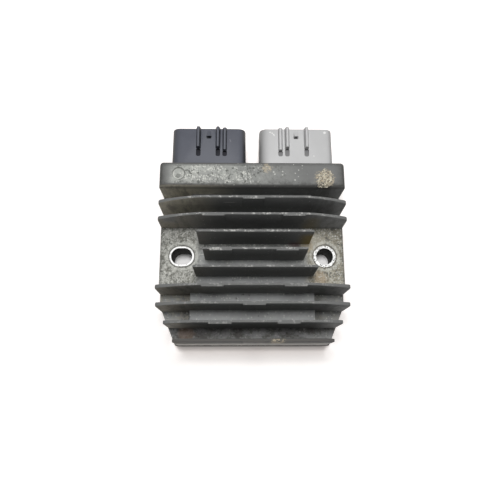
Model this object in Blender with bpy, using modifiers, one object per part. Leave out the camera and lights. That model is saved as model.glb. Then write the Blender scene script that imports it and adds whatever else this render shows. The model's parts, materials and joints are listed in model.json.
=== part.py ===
"""Voltage regulator rectifier: a finned die casting with two keyed three-way connectors, potted from behind.

Metres, +Z up. The part lies on its mounting face. X runs from ear to ear, and Y from the tapered end to
the connectors. The pieces are modelled about the line of the bolt holes, and one empty moves them all, so
that the world origin is below the middle of the part.
"""

import math

import bmesh
import bpy
from mathutils import Vector

NAME = "voltage_regulator_rectifier"

# The gap that is left between two pieces that touch
CLEARANCE = 0.0003
# How far a joined shape reaches into the one that carries it, and a cutter past the face that it opens
OVERLAP = 0.002

# Casting, in plan: its sides are a margin outside the bolt holes
HOLE_PITCH = 0.0750
SIDE_MARGIN = 0.0109
SOUTH_MARGIN = 0.0022
TAPER_LENGTH = 0.0205
TAPER_INSET = 0.0087
TAPER_CORNER = 0.0120
BODY_CORNER = 0.0012
BODY_DRAFT = 0.0002
HEADER_GAP = 0.0088
HEADER_DEPTH = 0.0139
HEADER_CORNER = 0.0020
ROOF_WIDTH = 0.0642

# Casting, heights above the mounting face
LEDGE_HEIGHT = 0.0090
EAR_HEIGHT = 0.0150
HEADER_HEIGHT = 0.0275
HEADER_EDGE = 0.0024
EAR_EDGE = 0.0005
FIN_HEIGHT = 0.0370

# Fins, numbered from the header
FIN_COUNT = 9
FIN_PITCH = 0.00864
HOLE_FIN = 4
FIN_ROW_OFFSET = -0.0006
FIN_TIP = 0.0012
FIN_DRAFT = 0.040
FIN_EDGE = 0.0004
FIN_LEVEL = 0.0520
FIN_FALL = 0.16
FIN_ARC = 0.0500
FIN_CURVE_STEP = 0.0030
FIN_NOSE = 0.0035
NOSE_RUN = 1.2
SHORT_FIN_NOSE = 0.0010
FIN_END_DRAFT = 0.017
FIN_END_INSET = 0.0005
TAPERED_END_INSETS = {7: 0.0006, 8: 0.0014, 9: 0.0026}
EAR_FINS = (2, 6)
ROOF_END_FIN = 8

# Ejector pads, which thicken the south side of a fin: fin number to distances from the row's middle
PAD_WIDTH = 0.0106
PAD_STEP = 0.0005
PAD_RECESS = 0.0001
PAD_SHIFT = 0.0004
PAD_INNER = 0.0160
PAD_OUTER = 0.0197
PAD_PLACES = {
    1: (0.0,),
    2: (-PAD_OUTER, PAD_OUTER),
    4: (-PAD_INNER, PAD_INNER),
    6: (-PAD_OUTER, PAD_OUTER),
    7: (0.0,),
    8: (-PAD_INNER, PAD_INNER),
    9: (0.0,),
}

# Bolt holes: the right one is round, the left one is a slot
HOLE_SHIFT = 0.0006
HOLE_DIAMETER = 0.0089
SLOT_TRAVEL = 0.0022
SEAT_DIAMETER = 0.0130
SEAT_DEPTH = 0.0003
TOOL_RADIUS = 0.0115

# Ejector mark on the header, from the header's west side
MARK_DIAMETER = 0.0062
MARK_DEPTH = 0.0004
MARK_INSET = 0.0102

# Cavity behind the roof and in the header
ROOF_THICKNESS = 0.0025
CAVITY_WALL = 0.0025
CAVITY_CORNER = 0.0020
HEADER_WALL = 0.0024
HEADER_SIDE_WALL = 0.0028
HEADER_ROOF = 0.0020

# Connector shells
SHELL_WIDTH = 0.0393
SHELL_DEPTH = 0.0172
SHELL_CORNER = 0.0040
SHELL_WALL = 0.0019
SHELL_GAP = 0.0071
SHELL_SHIFT = 0.0002
SHELL_TOP = 0.0250
SHELL_REACH = 0.0198
SHELL_TAIL = 0.0023
SHELL_DRAFT = 0.00015
SHELL_EDGE = 0.0005
SOCKET_DEPTH = 0.0180

# Keying ribs on top of a shell: distance from its middle, height, length back from the mouth
KEY_RIBS = ((-0.0055, 0.0027, 0.0115), (0.0048, 0.0027, 0.0115), (0.0084, 0.0016, 0.0127))
RIB_FOOT = 0.0030
RIB_CREST = 0.0012
RIB_ROUNDING = 0.0005
RIB_SETBACK = 0.0002
RECESS_WIDTH = 0.0024
RECESS_CORNER = 0.0009
RECESS_END = 0.0159
RECESS_DEPTH = 0.0013
NIB_WIDTH = 0.0018
NIB_HEIGHT = 0.0012
NIB_START = 0.0015
NIB_LENGTH = 0.0034
RELIEF_WIDTH = 0.0028
RELIEF_LENGTH = 0.0006
RELIEF_NOTCH = 0.0005

# Blade terminals
BLADE_COUNT = 3
BLADE_PITCH = 0.0102
BLADE_WIDTH = 0.0063
BLADE_THICKNESS = 0.0008
BLADE_RECESS = 0.0040
BLADE_POINT = 0.0014
BLADE_TIP_WIDTH = 0.0044
BLADE_BEND = 0.0011
BLADE_FOOT = 0.0022

# Electronics in the cavity
SUBSTRATE_THICKNESS = 0.0016
SUBSTRATE_MARGIN = 0.0005
PACKAGE_COUNT = 3
PACKAGE_PITCH = 0.0170
PACKAGE_ROW = 0.0140
PACKAGE_SIZE = (0.0102, 0.0090, 0.0030)
TAB_SIZE = (0.0086, 0.0016, 0.0012)
LEAD_SIZE = (0.0009, 0.0020, 0.0005)
LEAD_PITCH = 0.0025
LEAD_COUNT = 3
BOARD_SIZE = (0.0520, 0.0340, 0.0016)
BOARD_CORNER = 0.0020
BOARD_GAP = 0.0016
CHIP_SIZE = (0.0076, 0.0050, 0.0014)
CHIP_LEAD = (0.0005, 0.0009, 0.0003)
CHIP_LEAD_PITCH = 0.0013
CHIP_LEAD_COUNT = 5
FILM_SIZE = (0.0072, 0.0045, 0.0038)
CAN_DIAMETER = 0.0040
CAN_LENGTH = 0.0090
CAN_GROOVE = 0.00024
CAN_ROLL = 0.0012
CAPACITOR_PLACE = 0.0150
RESISTOR_SIZE = (0.0063, 0.0032, 0.0006)
RESISTOR_CAP = (0.0010, 0.0034, 0.0008)
PIN_DIAMETER = 0.0008
PIN_INSET = 0.0020
PIN_PROTRUSION = 0.0006

# Potting
POTTING_RECESS = 0.0015

# Sides of a whole turn, for round shapes
FINE = 40
MEDIUM = 24
COARSE = 16
ARC_STEPS = 5

PLANES = {
    "XY": ((1, 0, 0), (0, 1, 0), (0, 0, 1)),
    "XZ": ((1, 0, 0), (0, 0, 1), (0, 1, 0)),
    "YZ": ((0, 1, 0), (0, 0, 1), (1, 0, 0)),
}


def fin_y(number):
    return FIN_ROW_OFFSET + (HOLE_FIN - number) * FIN_PITCH


# Places that follow from the sizes above
HALF_WIDTH = HOLE_PITCH / 2 + SIDE_MARGIN
SOUTH_END = fin_y(FIN_COUNT) - SOUTH_MARGIN
HEADER_SOUTH = fin_y(1) + HEADER_GAP
HEADER_NORTH = HEADER_SOUTH + HEADER_DEPTH
MOUTH = HEADER_NORTH + SHELL_REACH
MIDDLE_Y = (MOUTH + SOUTH_END) / 2

RIGHT_HOLE_X = HOLE_SHIFT + HOLE_PITCH / 2
LEFT_HOLE_X = HOLE_SHIFT - HOLE_PITCH / 2

CAVITY_HALF = ROOF_WIDTH / 2 - CAVITY_WALL
CAVITY_SOUTH = fin_y(ROOF_END_FIN) + CAVITY_WALL
CAVITY_CEILING = EAR_HEIGHT - ROOF_THICKNESS
HEADER_CAVITY_HALF = HALF_WIDTH - HEADER_SIDE_WALL
HEADER_CAVITY_SOUTH = HEADER_SOUTH + HEADER_WALL
HEADER_CAVITY_NORTH = HEADER_NORTH - HEADER_WALL
HEADER_CAVITY_CEILING = HEADER_HEIGHT - HEADER_ROOF

SHELL_SPACING = SHELL_WIDTH + SHELL_GAP
SHELL_Z = SHELL_TOP - SHELL_DEPTH / 2
SHELL_REAR = -HEADER_WALL - SHELL_TAIL

SUBSTRATE_TOP = CAVITY_CEILING - CLEARANCE
SUBSTRATE_BOTTOM = SUBSTRATE_TOP - SUBSTRATE_THICKNESS
PACKAGE_TOP = SUBSTRATE_BOTTOM - CLEARANCE
BOARD_TOP = PACKAGE_TOP - PACKAGE_SIZE[2] - BOARD_GAP
BOARD_BOTTOM = BOARD_TOP - BOARD_SIZE[2]
BOARD_SEAT = BOARD_TOP + CLEARANCE
BOARD_Y = (CAVITY_SOUTH + HEADER_CAVITY_SOUTH) / 2


def clear_scene():
    for obj in list(bpy.data.objects):
        bpy.data.objects.remove(obj)


def new_collection(name):
    collection = bpy.data.collections.new(name)
    bpy.context.scene.collection.children.link(collection)
    return collection


clear_scene()
PIECES = new_collection(NAME)
CUTTERS = new_collection("cutters")
FRAME = bpy.data.objects.new("frame", None)
FRAME.location = (0, -MIDDLE_Y, 0)
PIECES.objects.link(FRAME)


def material(name, colour, roughness, metallic=0.0):
    made = bpy.data.materials.new(name)
    made.use_nodes = True
    shader = made.node_tree.nodes["Principled BSDF"]
    shader.inputs["Base Color"].default_value = (*colour, 1)
    shader.inputs["Roughness"].default_value = roughness
    shader.inputs["Metallic"].default_value = metallic
    made.diffuse_color = (*colour, 1)
    return made


MATERIALS = {
    "cast_aluminium": material("cast_aluminium", (0.16, 0.16, 0.15), 0.6, 0.6),
    "black_plastic": material("black_plastic", (0.03, 0.033, 0.04), 0.45),
    "grey_plastic": material("grey_plastic", (0.45, 0.45, 0.45), 0.5),
    "tinned_brass": material("tinned_brass", (0.7, 0.68, 0.62), 0.3, 1.0),
    "insulated_metal": material("insulated_metal", (0.5, 0.5, 0.5), 0.4, 0.8),
    "package_epoxy": material("package_epoxy", (0.02, 0.02, 0.02), 0.6),
    "circuit_board": material("circuit_board", (0.02, 0.12, 0.05), 0.5),
    "film_capacitor": material("film_capacitor", (0.35, 0.05, 0.03), 0.45),
    "capacitor_can": material("capacitor_can", (0.6, 0.6, 0.6), 0.35, 0.9),
    "resistor_body": material("resistor_body", (0.05, 0.05, 0.06), 0.5),
    "potting_resin": material("potting_resin", (0.015, 0.015, 0.016), 0.35),
}


def add(name, mesh, paint=None, place=(0, 0, 0)):
    """A piece when it has a material, and a cutter or other helper when it has none."""
    obj = bpy.data.objects.new(name, mesh)
    obj.location = place
    obj.parent = FRAME
    if paint is None:
        CUTTERS.objects.link(obj)
        obj.hide_render = True
        obj.display_type = "WIRE"
        return obj
    PIECES.objects.link(obj)
    if not mesh.materials:
        mesh.materials.append(MATERIALS[paint])
    return obj


def to_mesh(name, shape):
    bmesh.ops.recalc_face_normals(shape, faces=shape.faces)
    mesh = bpy.data.meshes.new(name)
    shape.to_mesh(mesh)
    shape.free()
    return mesh


def rounded(corners, steps=ARC_STEPS):
    """The outline through corners given as (u, v, radius), with an arc at each one that has a radius."""
    outline = []
    for i, (u, v, radius) in enumerate(corners):
        here = Vector((u, v))
        if radius == 0:
            outline.append(here)
            continue
        back = (Vector(corners[i - 1][:2]) - here).normalized()
        ahead = (Vector(corners[(i + 1) % len(corners)][:2]) - here).normalized()
        half_angle = back.angle(ahead) / 2
        centre = here + (back + ahead).normalized() * radius / math.sin(half_angle)
        first = here + back * radius / math.tan(half_angle) - centre
        last = here + ahead * radius / math.tan(half_angle) - centre
        start = math.atan2(first.y, first.x)
        sweep = (math.atan2(last.y, last.x) - start + math.pi) % math.tau - math.pi
        for step in range(steps + 1):
            angle = start + sweep * step / steps
            outline.append(centre + Vector((math.cos(angle), math.sin(angle))) * radius)
    return outline


def rounded_box(width, depth, radius, centre=(0, 0), steps=ARC_STEPS):
    u, v = centre
    x, y = width / 2, depth / 2
    signs = ((-1, -1), (1, -1), (1, 1), (-1, 1))
    return rounded([(u + i * x, v + j * y, radius) for i, j in signs], steps)


def stadium(travel, diameter, centre, sides=FINE):
    """A round hole's outline, or a slot's when it has travel along the first axis."""
    points = []
    for i in range(sides + 1):
        angle = math.pi * i / sides * 2
        side = 1 if math.cos(angle) > 0 else -1
        points.append(
            (
                centre[0] + side * travel / 2 + diameter / 2 * math.cos(angle),
                centre[1] + diameter / 2 * math.sin(angle),
            )
        )
    return points[:-1]


def extrude_mesh(name, outline, low, high, plane="XY", taper=0.0):
    """An outline extruded from low to high. At high, each side has come in by about taper."""
    u_axis, v_axis, w_axis = (Vector(axis) for axis in PLANES[plane])
    shape = bmesh.new()
    ring = [shape.verts.new(u_axis * u + v_axis * v + w_axis * low) for u, v in outline]
    grown = bmesh.ops.extrude_face_region(shape, geom=[shape.faces.new(ring)])
    far = [item for item in grown["geom"] if isinstance(item, bmesh.types.BMVert)]
    bmesh.ops.translate(shape, verts=far, vec=w_axis * (high - low))
    if taper:
        for axis in (u_axis, v_axis):
            reach = [vert.co.dot(axis) for vert in far]
            middle = (max(reach) + min(reach)) / 2
            shrink = 2 * taper / (max(reach) - min(reach))
            for vert in far:
                vert.co -= axis * (vert.co.dot(axis) - middle) * shrink
    return to_mesh(name, shape)


def extrude(name, outline, low, high, plane="XY", taper=0.0, paint=None, place=(0, 0, 0)):
    return add(name, extrude_mesh(name, outline, low, high, plane, taper), paint, place)


def box_mesh(name, size, centre=(0, 0, 0)):
    shape = bmesh.new()
    made = bmesh.ops.create_cube(shape, size=1)
    bmesh.ops.scale(shape, verts=made["verts"], vec=size)
    bmesh.ops.translate(shape, verts=made["verts"], vec=centre)
    return to_mesh(name, shape)


def block(name, low, high, paint=None, place=(0, 0, 0)):
    size = [b - a for a, b in zip(low, high)]
    centre = [(a + b) / 2 for a, b in zip(low, high)]
    return add(name, box_mesh(name, size, centre), paint, place)


def join(target, *tools):
    for tool in tools:
        modifier = target.modifiers.new(f"join {tool.name}"[:60], "BOOLEAN")
        modifier.operation = "UNION"
        modifier.object = tool


def cut(target, *tools):
    for tool in tools:
        modifier = target.modifiers.new(f"cut {tool.name}"[:60], "BOOLEAN")
        modifier.operation = "DIFFERENCE"
        modifier.object = tool


def bevel(target, width, steps=2, angle=30):
    modifier = target.modifiers.new("rounded edges", "BEVEL")
    modifier.width = width
    modifier.segments = steps
    modifier.limit_method = "ANGLE"
    modifier.angle_limit = math.radians(angle)


def apply_modifiers(obj):
    bpy.context.view_layer.update()
    graph = bpy.context.evaluated_depsgraph_get()
    mesh = bpy.data.meshes.new_from_object(obj.evaluated_get(graph))
    obj.modifiers.clear()
    obj.data = mesh


def bevel_where(obj, chosen, width, steps=3):
    """Rounds the outer corners whose two ends both pass the test."""
    shape = bmesh.new()
    shape.from_mesh(obj.data)
    edges = [edge for edge in shape.edges if all(chosen(vert.co) for vert in edge.verts)]
    sharp = [edge for edge in edges if edge.calc_face_angle_signed(0) > math.radians(30)]
    bmesh.ops.bevel(shape, geom=sharp, offset=width, segments=steps, profile=0.5, affect="EDGES")
    bmesh.ops.recalc_face_normals(shape, faces=shape.faces)
    shape.to_mesh(obj.data)
    shape.free()


def smooth(obj, angle=35):
    obj.data.shade_smooth()
    obj.data.set_sharp_from_angle(angle=math.radians(angle))


def half_width_at(y):
    """Half the casting's width at the mounting face."""
    taper_start = SOUTH_END + TAPER_LENGTH
    return HALF_WIDTH - TAPER_INSET * max(0.0, taper_start - y) / TAPER_LENGTH


def casting_body():
    """The plan outline at the header's height, stepped down to the ears and then to the ledges."""
    taper_start = SOUTH_END + TAPER_LENGTH
    south_half = HALF_WIDTH - TAPER_INSET
    east = [
        (south_half, SOUTH_END, BODY_CORNER),
        (HALF_WIDTH, taper_start, TAPER_CORNER),
        (HALF_WIDTH, HEADER_NORTH, HEADER_CORNER),
    ]
    west = [(-x, y, radius) for x, y, radius in reversed(east)]
    outline = rounded(east + west)
    body = extrude("finned_housing", outline, 0, HEADER_HEIGHT, taper=BODY_DRAFT, paint="cast_aluminium")

    over = 2 * HALF_WIDTH
    ear_south, ear_north = (fin_y(number) for number in reversed(EAR_FINS))
    roof_end = fin_y(ROOF_END_FIN)
    above_ears = block("above_ears", (-over, -over, EAR_HEIGHT), (over, HEADER_SOUTH, over))
    past_roof = block("past_roof", (-over, -over, LEDGE_HEIGHT), (over, roof_end, over))
    cut(body, above_ears, past_roof)
    for side, inner, outer in (("west", -over, -ROOF_WIDTH / 2), ("east", ROOF_WIDTH / 2, over)):
        for end, low, high in (("south", roof_end - OVERLAP, ear_south), ("north", ear_north, HEADER_SOUTH)):
            ledge = block(f"{side}_{end}_ledge", (inner, low, LEDGE_HEIGHT), (outer, high, over))
            cut(body, ledge)
    apply_modifiers(body)
    for height, width in ((HEADER_HEIGHT, HEADER_EDGE), (EAR_HEIGHT, EAR_EDGE), (LEDGE_HEIGHT, EAR_EDGE)):
        bevel_where(body, lambda point: abs(point.z - height) < CLEARANCE, width)
    return body


def tip_height(x):
    """Height of a fin's tip: level in the middle, then falling at a set slope that steepens along an arc."""
    past = max(0.0, abs(x) - FIN_LEVEL / 2)
    return FIN_HEIGHT - FIN_FALL * past - past * past / (2 * FIN_ARC)


def fin_reaches(number):
    """How far a fin's tip reaches west and east, and its nose. A wrench on a bolt passes the short ones."""
    y = fin_y(number)
    if abs(y) < TOOL_RADIUS:
        clear = math.sqrt(TOOL_RADIUS**2 - y**2)
        return SLOT_TRAVEL / -2 - LEFT_HOLE_X - clear, RIGHT_HOLE_X - clear, SHORT_FIN_NOSE
    half = half_width_at(y) - TAPERED_END_INSETS.get(number, FIN_END_INSET)
    return half, half, FIN_NOSE


def fin_side(reach, nose):
    """One half of a fin's outline, from its foot over its rounded nose to where the tip is level."""
    foot_z = LEDGE_HEIGHT - OVERLAP
    foot = reach + (tip_height(reach) - foot_z) * FIN_END_DRAFT
    side = [(foot, foot_z, 0.0), (reach, tip_height(reach), nose)]
    level = FIN_LEVEL / 2
    last = reach - NOSE_RUN * nose
    steps = max(1, round((last - level) / FIN_CURVE_STEP))
    if last > level:
        falling = [last + (level - last) * i / steps for i in range(steps + 1)]
        side += [(x, tip_height(x), 0.0) for x in falling]
    return side


def fin(number):
    y = fin_y(number)
    west_reach, east_reach, nose = fin_reaches(number)
    east = fin_side(east_reach, nose)
    west = [(-x, z, radius) for x, z, radius in reversed(fin_side(west_reach, nose))]
    plate = extrude(f"fin_{number}", rounded(east + west), -1, 1, plane="XZ")
    for vert in plate.data.vertices:
        half_thickness = FIN_TIP / 2 + (FIN_HEIGHT - vert.co.z) * FIN_DRAFT
        vert.co.y = y + math.copysign(half_thickness, vert.co.y)
    bevel(plate, FIN_EDGE)
    for i, distance in enumerate(PAD_PLACES.get(number, ())):
        join(plate, ejector_pad(number, i, PAD_SHIFT + distance))
    return plate


def ejector_pad(number, index, x):
    """A boss on the fin's south side, upright where the fin is drafted, so it dies out towards the root."""
    south = fin_y(number) - FIN_TIP / 2 - PAD_STEP
    foot = EAR_HEIGHT if number < ROOF_END_FIN else LEDGE_HEIGHT
    low = (x - PAD_WIDTH / 2, south, foot - OVERLAP)
    high = (x + PAD_WIDTH / 2, fin_y(number), FIN_HEIGHT - PAD_RECESS)
    return block(f"pad_{number}_{index}", low, high)


def taper_trimmers():
    """What lies outside the tapered sides, where the foot of a fin would overhang them."""
    start = SOUTH_END + TAPER_LENGTH
    south_half = HALF_WIDTH - TAPER_INSET
    over = 2 * HALF_WIDTH
    corners = [(HALF_WIDTH, start), (south_half, SOUTH_END), (over, SOUTH_END), (over, start)]
    trimmers = []
    for side in (-1, 1):
        outline = [(side * x, y) for x, y in corners]
        trimmers.append(extrude(f"trimmer_{side}", outline, LEDGE_HEIGHT - 2 * OVERLAP, FIN_HEIGHT))
    return trimmers


def bolt_shapes(name, diameter, low, high):
    """One cutter on each bolt axis: round on the right, and lengthened by the slot's travel on the left."""
    return [
        extrude(f"{name}_right", stadium(0, diameter, (RIGHT_HOLE_X, 0)), low, high),
        extrude(f"{name}_left", stadium(SLOT_TRAVEL, diameter, (LEFT_HOLE_X, 0)), low, high),
    ]


def shell_outline(grow=0.0):
    return rounded_box(SHELL_WIDTH + 2 * grow, SHELL_DEPTH + 2 * grow, SHELL_CORNER + grow)


def shell_place(side):
    return (SHELL_SHIFT + side * SHELL_SPACING / 2, HEADER_NORTH, SHELL_Z)


def finned_housing():
    body = casting_body()
    join(body, *[fin(number) for number in range(1, FIN_COUNT + 1)])
    cut(body, *taper_trimmers())

    main = rounded_box(
        2 * CAVITY_HALF,
        HEADER_CAVITY_NORTH - CAVITY_SOUTH,
        CAVITY_CORNER,
        (0, (HEADER_CAVITY_NORTH + CAVITY_SOUTH) / 2),
    )
    head = rounded_box(
        2 * HEADER_CAVITY_HALF,
        HEADER_CAVITY_NORTH - HEADER_CAVITY_SOUTH,
        CAVITY_CORNER,
        (0, (HEADER_CAVITY_NORTH + HEADER_CAVITY_SOUTH) / 2),
    )
    cut(body, extrude("header_cavity", head, -OVERLAP, HEADER_CAVITY_CEILING))
    cut(body, extrude("roof_cavity", main, -2 * OVERLAP, CAVITY_CEILING))
    for name, side in (("stator_opening", -1), ("output_opening", 1)):
        opening = shell_outline(CLEARANCE)
        place = shell_place(side)
        cut(body, extrude(name, opening, -HEADER_WALL - OVERLAP, OVERLAP, plane="XZ", place=place))
    cut(body, *bolt_shapes("bolt_hole", HOLE_DIAMETER, -OVERLAP, EAR_HEIGHT + OVERLAP))
    cut(body, *bolt_shapes("bolt_seat", SEAT_DIAMETER, EAR_HEIGHT - SEAT_DEPTH, EAR_HEIGHT + OVERLAP))
    mark_centre = (MARK_INSET - HALF_WIDTH, (HEADER_SOUTH + HEADER_NORTH) / 2)
    mark = stadium(0, MARK_DIAMETER, mark_centre, COARSE)
    cut(body, extrude("ejector_mark", mark, HEADER_HEIGHT - MARK_DEPTH, HEADER_HEIGHT + OVERLAP))
    apply_modifiers(body)
    smooth(body)
    return body


def keyed_shell(name, side, mirror, paint):
    """A shroud about the middle of its opening in the header. The two have their keys at mirrored places."""
    place = shell_place(side)
    shell = extrude(name, shell_outline(), SHELL_REAR, SHELL_REACH, "XZ", SHELL_DRAFT, paint, place)
    bevel_where(shell, lambda point: point.y > SHELL_REACH - CLEARANCE, SHELL_EDGE, steps=2)

    top = SHELL_DEPTH / 2
    floor = SHELL_REACH - SOCKET_DEPTH
    inner_radius = SHELL_CORNER - SHELL_WALL
    socket = rounded_box(SHELL_WIDTH - 2 * SHELL_WALL, SHELL_DEPTH - 2 * SHELL_WALL, inner_radius)
    cut(shell, extrude(f"{name}_socket", socket, floor, SHELL_REACH + OVERLAP, "XZ", place=place))
    for i, x in enumerate(blade_offsets()):
        slot = [BLADE_WIDTH / 2 + CLEARANCE, BLADE_THICKNESS / 2 + CLEARANCE]
        low = (x - slot[0], SHELL_REAR - OVERLAP, -slot[1])
        high = (x + slot[0], floor + OVERLAP, slot[1])
        cut(shell, block(f"{name}_slot_{i}", low, high, place=place))

    for i, (offset, height, length) in enumerate(KEY_RIBS):
        x = mirror * offset
        foot = top - SHELL_WALL / 2
        rib = rounded(
            [
                (x - RIB_FOOT / 2, foot, 0.0),
                (x + RIB_FOOT / 2, foot, 0.0),
                (x + RIB_CREST / 2, top + height, RIB_ROUNDING),
                (x - RIB_CREST / 2, top + height, RIB_ROUNDING),
            ]
        )
        rib_end = SHELL_REACH - length
        join(shell, extrude(f"{name}_rib_{i}", rib, rib_end, SHELL_REACH - RIB_SETBACK, "XZ", place=place))
        recess_end = SHELL_REACH - RECESS_END
        centre = (x, (rib_end + recess_end) / 2)
        recess = rounded_box(RECESS_WIDTH, rib_end - recess_end, RECESS_CORNER, centre)
        cut(shell, extrude(f"{name}_recess_{i}", recess, top - RECESS_DEPTH, top + OVERLAP, place=place))

    nib_start = SHELL_REACH - NIB_START
    nib_end = nib_start - NIB_LENGTH
    low = (-RELIEF_WIDTH / 2, nib_end - RELIEF_LENGTH, top - SHELL_WALL - OVERLAP)
    high = (RELIEF_WIDTH / 2, nib_end + RELIEF_NOTCH, top + OVERLAP)
    cut(shell, block(f"{name}_nib_relief", low, high, place=place))
    nib = [
        (nib_start, top - SHELL_WALL / 2),
        (nib_start, top),
        (nib_end, top + NIB_HEIGHT),
        (nib_end, top - SHELL_WALL / 2),
    ]
    join(shell, extrude(f"{name}_nib", nib, -NIB_WIDTH / 2, NIB_WIDTH / 2, "YZ", place=place))
    apply_modifiers(shell)
    smooth(shell)
    return shell


def blade_offsets():
    middle = (BLADE_COUNT - 1) / 2
    return [(i - middle) * BLADE_PITCH for i in range(BLADE_COUNT)]


def blade_mesh():
    """A strip with a tapered point, which leaves the shell's rear and bends down to the substrate."""
    bend = SHELL_REAR - BLADE_BEND - BLADE_THICKNESS / 2
    foot_z = SUBSTRATE_TOP + CLEARANCE + BLADE_THICKNESS / 2 - SHELL_Z
    tip = SHELL_REACH - BLADE_RECESS
    path = rounded(
        [
            (tip, 0.0, 0.0),
            (tip - BLADE_POINT, 0.0, 0.0),
            (bend, 0.0, BLADE_BEND),
            (bend, foot_z, BLADE_BEND),
            (bend - BLADE_FOOT, foot_z, 0.0),
        ]
    )
    shape = bmesh.new()
    line = [shape.verts.new((-BLADE_WIDTH / 2, y, z)) for y, z in path]
    edges = [shape.edges.new(pair) for pair in zip(line, line[1:])]
    grown = bmesh.ops.extrude_edge_only(shape, edges=edges)
    far = [item for item in grown["geom"] if isinstance(item, bmesh.types.BMVert)]
    bmesh.ops.translate(shape, verts=far, vec=(BLADE_WIDTH, 0, 0))
    for vert in shape.verts:
        if vert.co.y > tip - BLADE_POINT / 2:
            vert.co.x *= BLADE_TIP_WIDTH / BLADE_WIDTH
    return to_mesh("blade", shape)


def blades():
    mesh = blade_mesh()
    for name, side in (("stator", -1), ("output", 1)):
        x, y, z = shell_place(side)
        for i, offset in enumerate(blade_offsets()):
            blade = add(f"{name}_blade_{i + 1}", mesh, "tinned_brass", (x + offset, y, z))
            strip = blade.modifiers.new("sheet thickness", "SOLIDIFY")
            strip.thickness = BLADE_THICKNESS
            strip.offset = 0
            strip.use_even_offset = True


def substrate_head():
    """Half width, south and north of the substrate's wider end, which lies under the blades' feet."""
    half = abs(shell_place(1)[0]) + blade_offsets()[-1] + BLADE_WIDTH / 2 + SUBSTRATE_MARGIN
    return half, HEADER_CAVITY_SOUTH + SUBSTRATE_MARGIN, HEADER_NORTH + SHELL_REAR - SUBSTRATE_MARGIN


def power_substrate():
    half = CAVITY_HALF - SUBSTRATE_MARGIN
    head, head_south, head_north = substrate_head()
    radius = SUBSTRATE_MARGIN
    south = CAVITY_SOUTH + SUBSTRATE_MARGIN
    east = [
        (half, south, CAVITY_CORNER),
        (half, head_south, 0.0),
        (head, head_south, radius),
        (head, head_north, radius),
    ]
    west = [(-x, y, corner) for x, y, corner in reversed(east)]
    outline = rounded(east + west)
    return extrude("power_substrate", outline, SUBSTRATE_BOTTOM, SUBSTRATE_TOP, paint="insulated_metal")


def package_places():
    """Name and place of each power package: diodes north of the board's middle, switching devices south."""
    middle = (PACKAGE_COUNT - 1) / 2
    for name, row in (("rectifier_diode", 1), ("switching_device", -1)):
        for i in range(PACKAGE_COUNT):
            place = ((i - middle) * PACKAGE_PITCH, BOARD_Y + row * PACKAGE_ROW, PACKAGE_TOP)
            yield f"{name}_{i + 1}", place, row


def power_packages():
    """Moulded bodies with a heat tab on the outer side and three leads on the inner side, tab face up."""
    width, depth, height = PACKAGE_SIZE
    for name, place, row in package_places():
        proud = LEAD_SIZE[2] / 4
        low, high = (-width / 2, -depth / 2, -height), (width / 2, depth / 2, -proud)
        body = block(name, low, high, "package_epoxy", place)
        bevel(body, LEAD_SIZE[2] / 2, 1)
        tab_end = row * (depth / 2 + TAB_SIZE[1])
        tab_low, tab_high = sorted((0.0, tab_end))
        low, high = (-TAB_SIZE[0] / 2, tab_low, -TAB_SIZE[2]), (TAB_SIZE[0] / 2, tab_high, 0)
        join(body, block(f"{name}_tab", low, high, place=place))
        lead_low, lead_high = sorted((-row * (depth / 2 - OVERLAP / 2), -row * (depth / 2 + LEAD_SIZE[1])))
        for i in range(LEAD_COUNT):
            x = (i - (LEAD_COUNT - 1) / 2) * LEAD_PITCH
            low = (x - LEAD_SIZE[0] / 2, lead_low, -LEAD_SIZE[2] - proud / 2)
            high = (x + LEAD_SIZE[0] / 2, lead_high, -proud / 2)
            join(body, block(f"{name}_lead_{i}", low, high, place=place))
        apply_modifiers(body)


def pin_places():
    x = BOARD_SIZE[0] / 2 - PIN_INSET
    y = BOARD_SIZE[1] / 2 - PIN_INSET
    return [(i * x, BOARD_Y + j * y) for i, j in ((-1, 1), (1, 1), (-1, -1), (1, -1))]


def control_board():
    outline = rounded_box(BOARD_SIZE[0], BOARD_SIZE[1], BOARD_CORNER, (0, BOARD_Y))
    board = extrude("control_board", outline, BOARD_BOTTOM, BOARD_TOP, paint="circuit_board")
    for i, centre in enumerate(pin_places()):
        hole = stadium(0, PIN_DIAMETER + 2 * CLEARANCE, centre, COARSE)
        cut(board, extrude(f"pin_hole_{i}", hole, BOARD_BOTTOM - OVERLAP, BOARD_TOP + OVERLAP))
        low, high = BOARD_BOTTOM - PIN_PROTRUSION, SUBSTRATE_BOTTOM - CLEARANCE
        pin = extrude(
            f"link_pin_{i + 1}", stadium(0, PIN_DIAMETER, centre, COARSE), low, high, paint="tinned_brass"
        )
        smooth(pin)
    apply_modifiers(board)
    return board


def chip_place():
    return (0.0, BOARD_Y, BOARD_SEAT)


def controller_chip():
    width, depth, height = CHIP_SIZE
    place = chip_place()
    foot = CHIP_LEAD[2]
    low, high = (-width / 2, -depth / 2, foot / 2), (width / 2, depth / 2, height)
    chip = block("controller_chip", low, high, "package_epoxy", place)
    for side in (-1, 1):
        for i in range(CHIP_LEAD_COUNT):
            x = (i - (CHIP_LEAD_COUNT - 1) / 2) * CHIP_LEAD_PITCH
            low_y, high_y = sorted((side * (depth / 2 - OVERLAP / 2), side * (depth / 2 + CHIP_LEAD[1])))
            low = (x - CHIP_LEAD[0] / 2, low_y, 0)
            high = (x + CHIP_LEAD[0] / 2, high_y, foot)
            join(chip, block(f"chip_lead_{side}_{i}", low, high, place=place))
    apply_modifiers(chip)
    return chip


def film_capacitor():
    width, depth, height = FILM_SIZE
    place = (-CAPACITOR_PLACE, BOARD_Y, BOARD_SEAT)
    low, high = (-width / 2, -depth / 2, 0), (width / 2, depth / 2, height)
    made = block("filter_capacitor", low, high, "film_capacitor", place)
    bevel(made, 2 * CLEARANCE)
    return made


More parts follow.
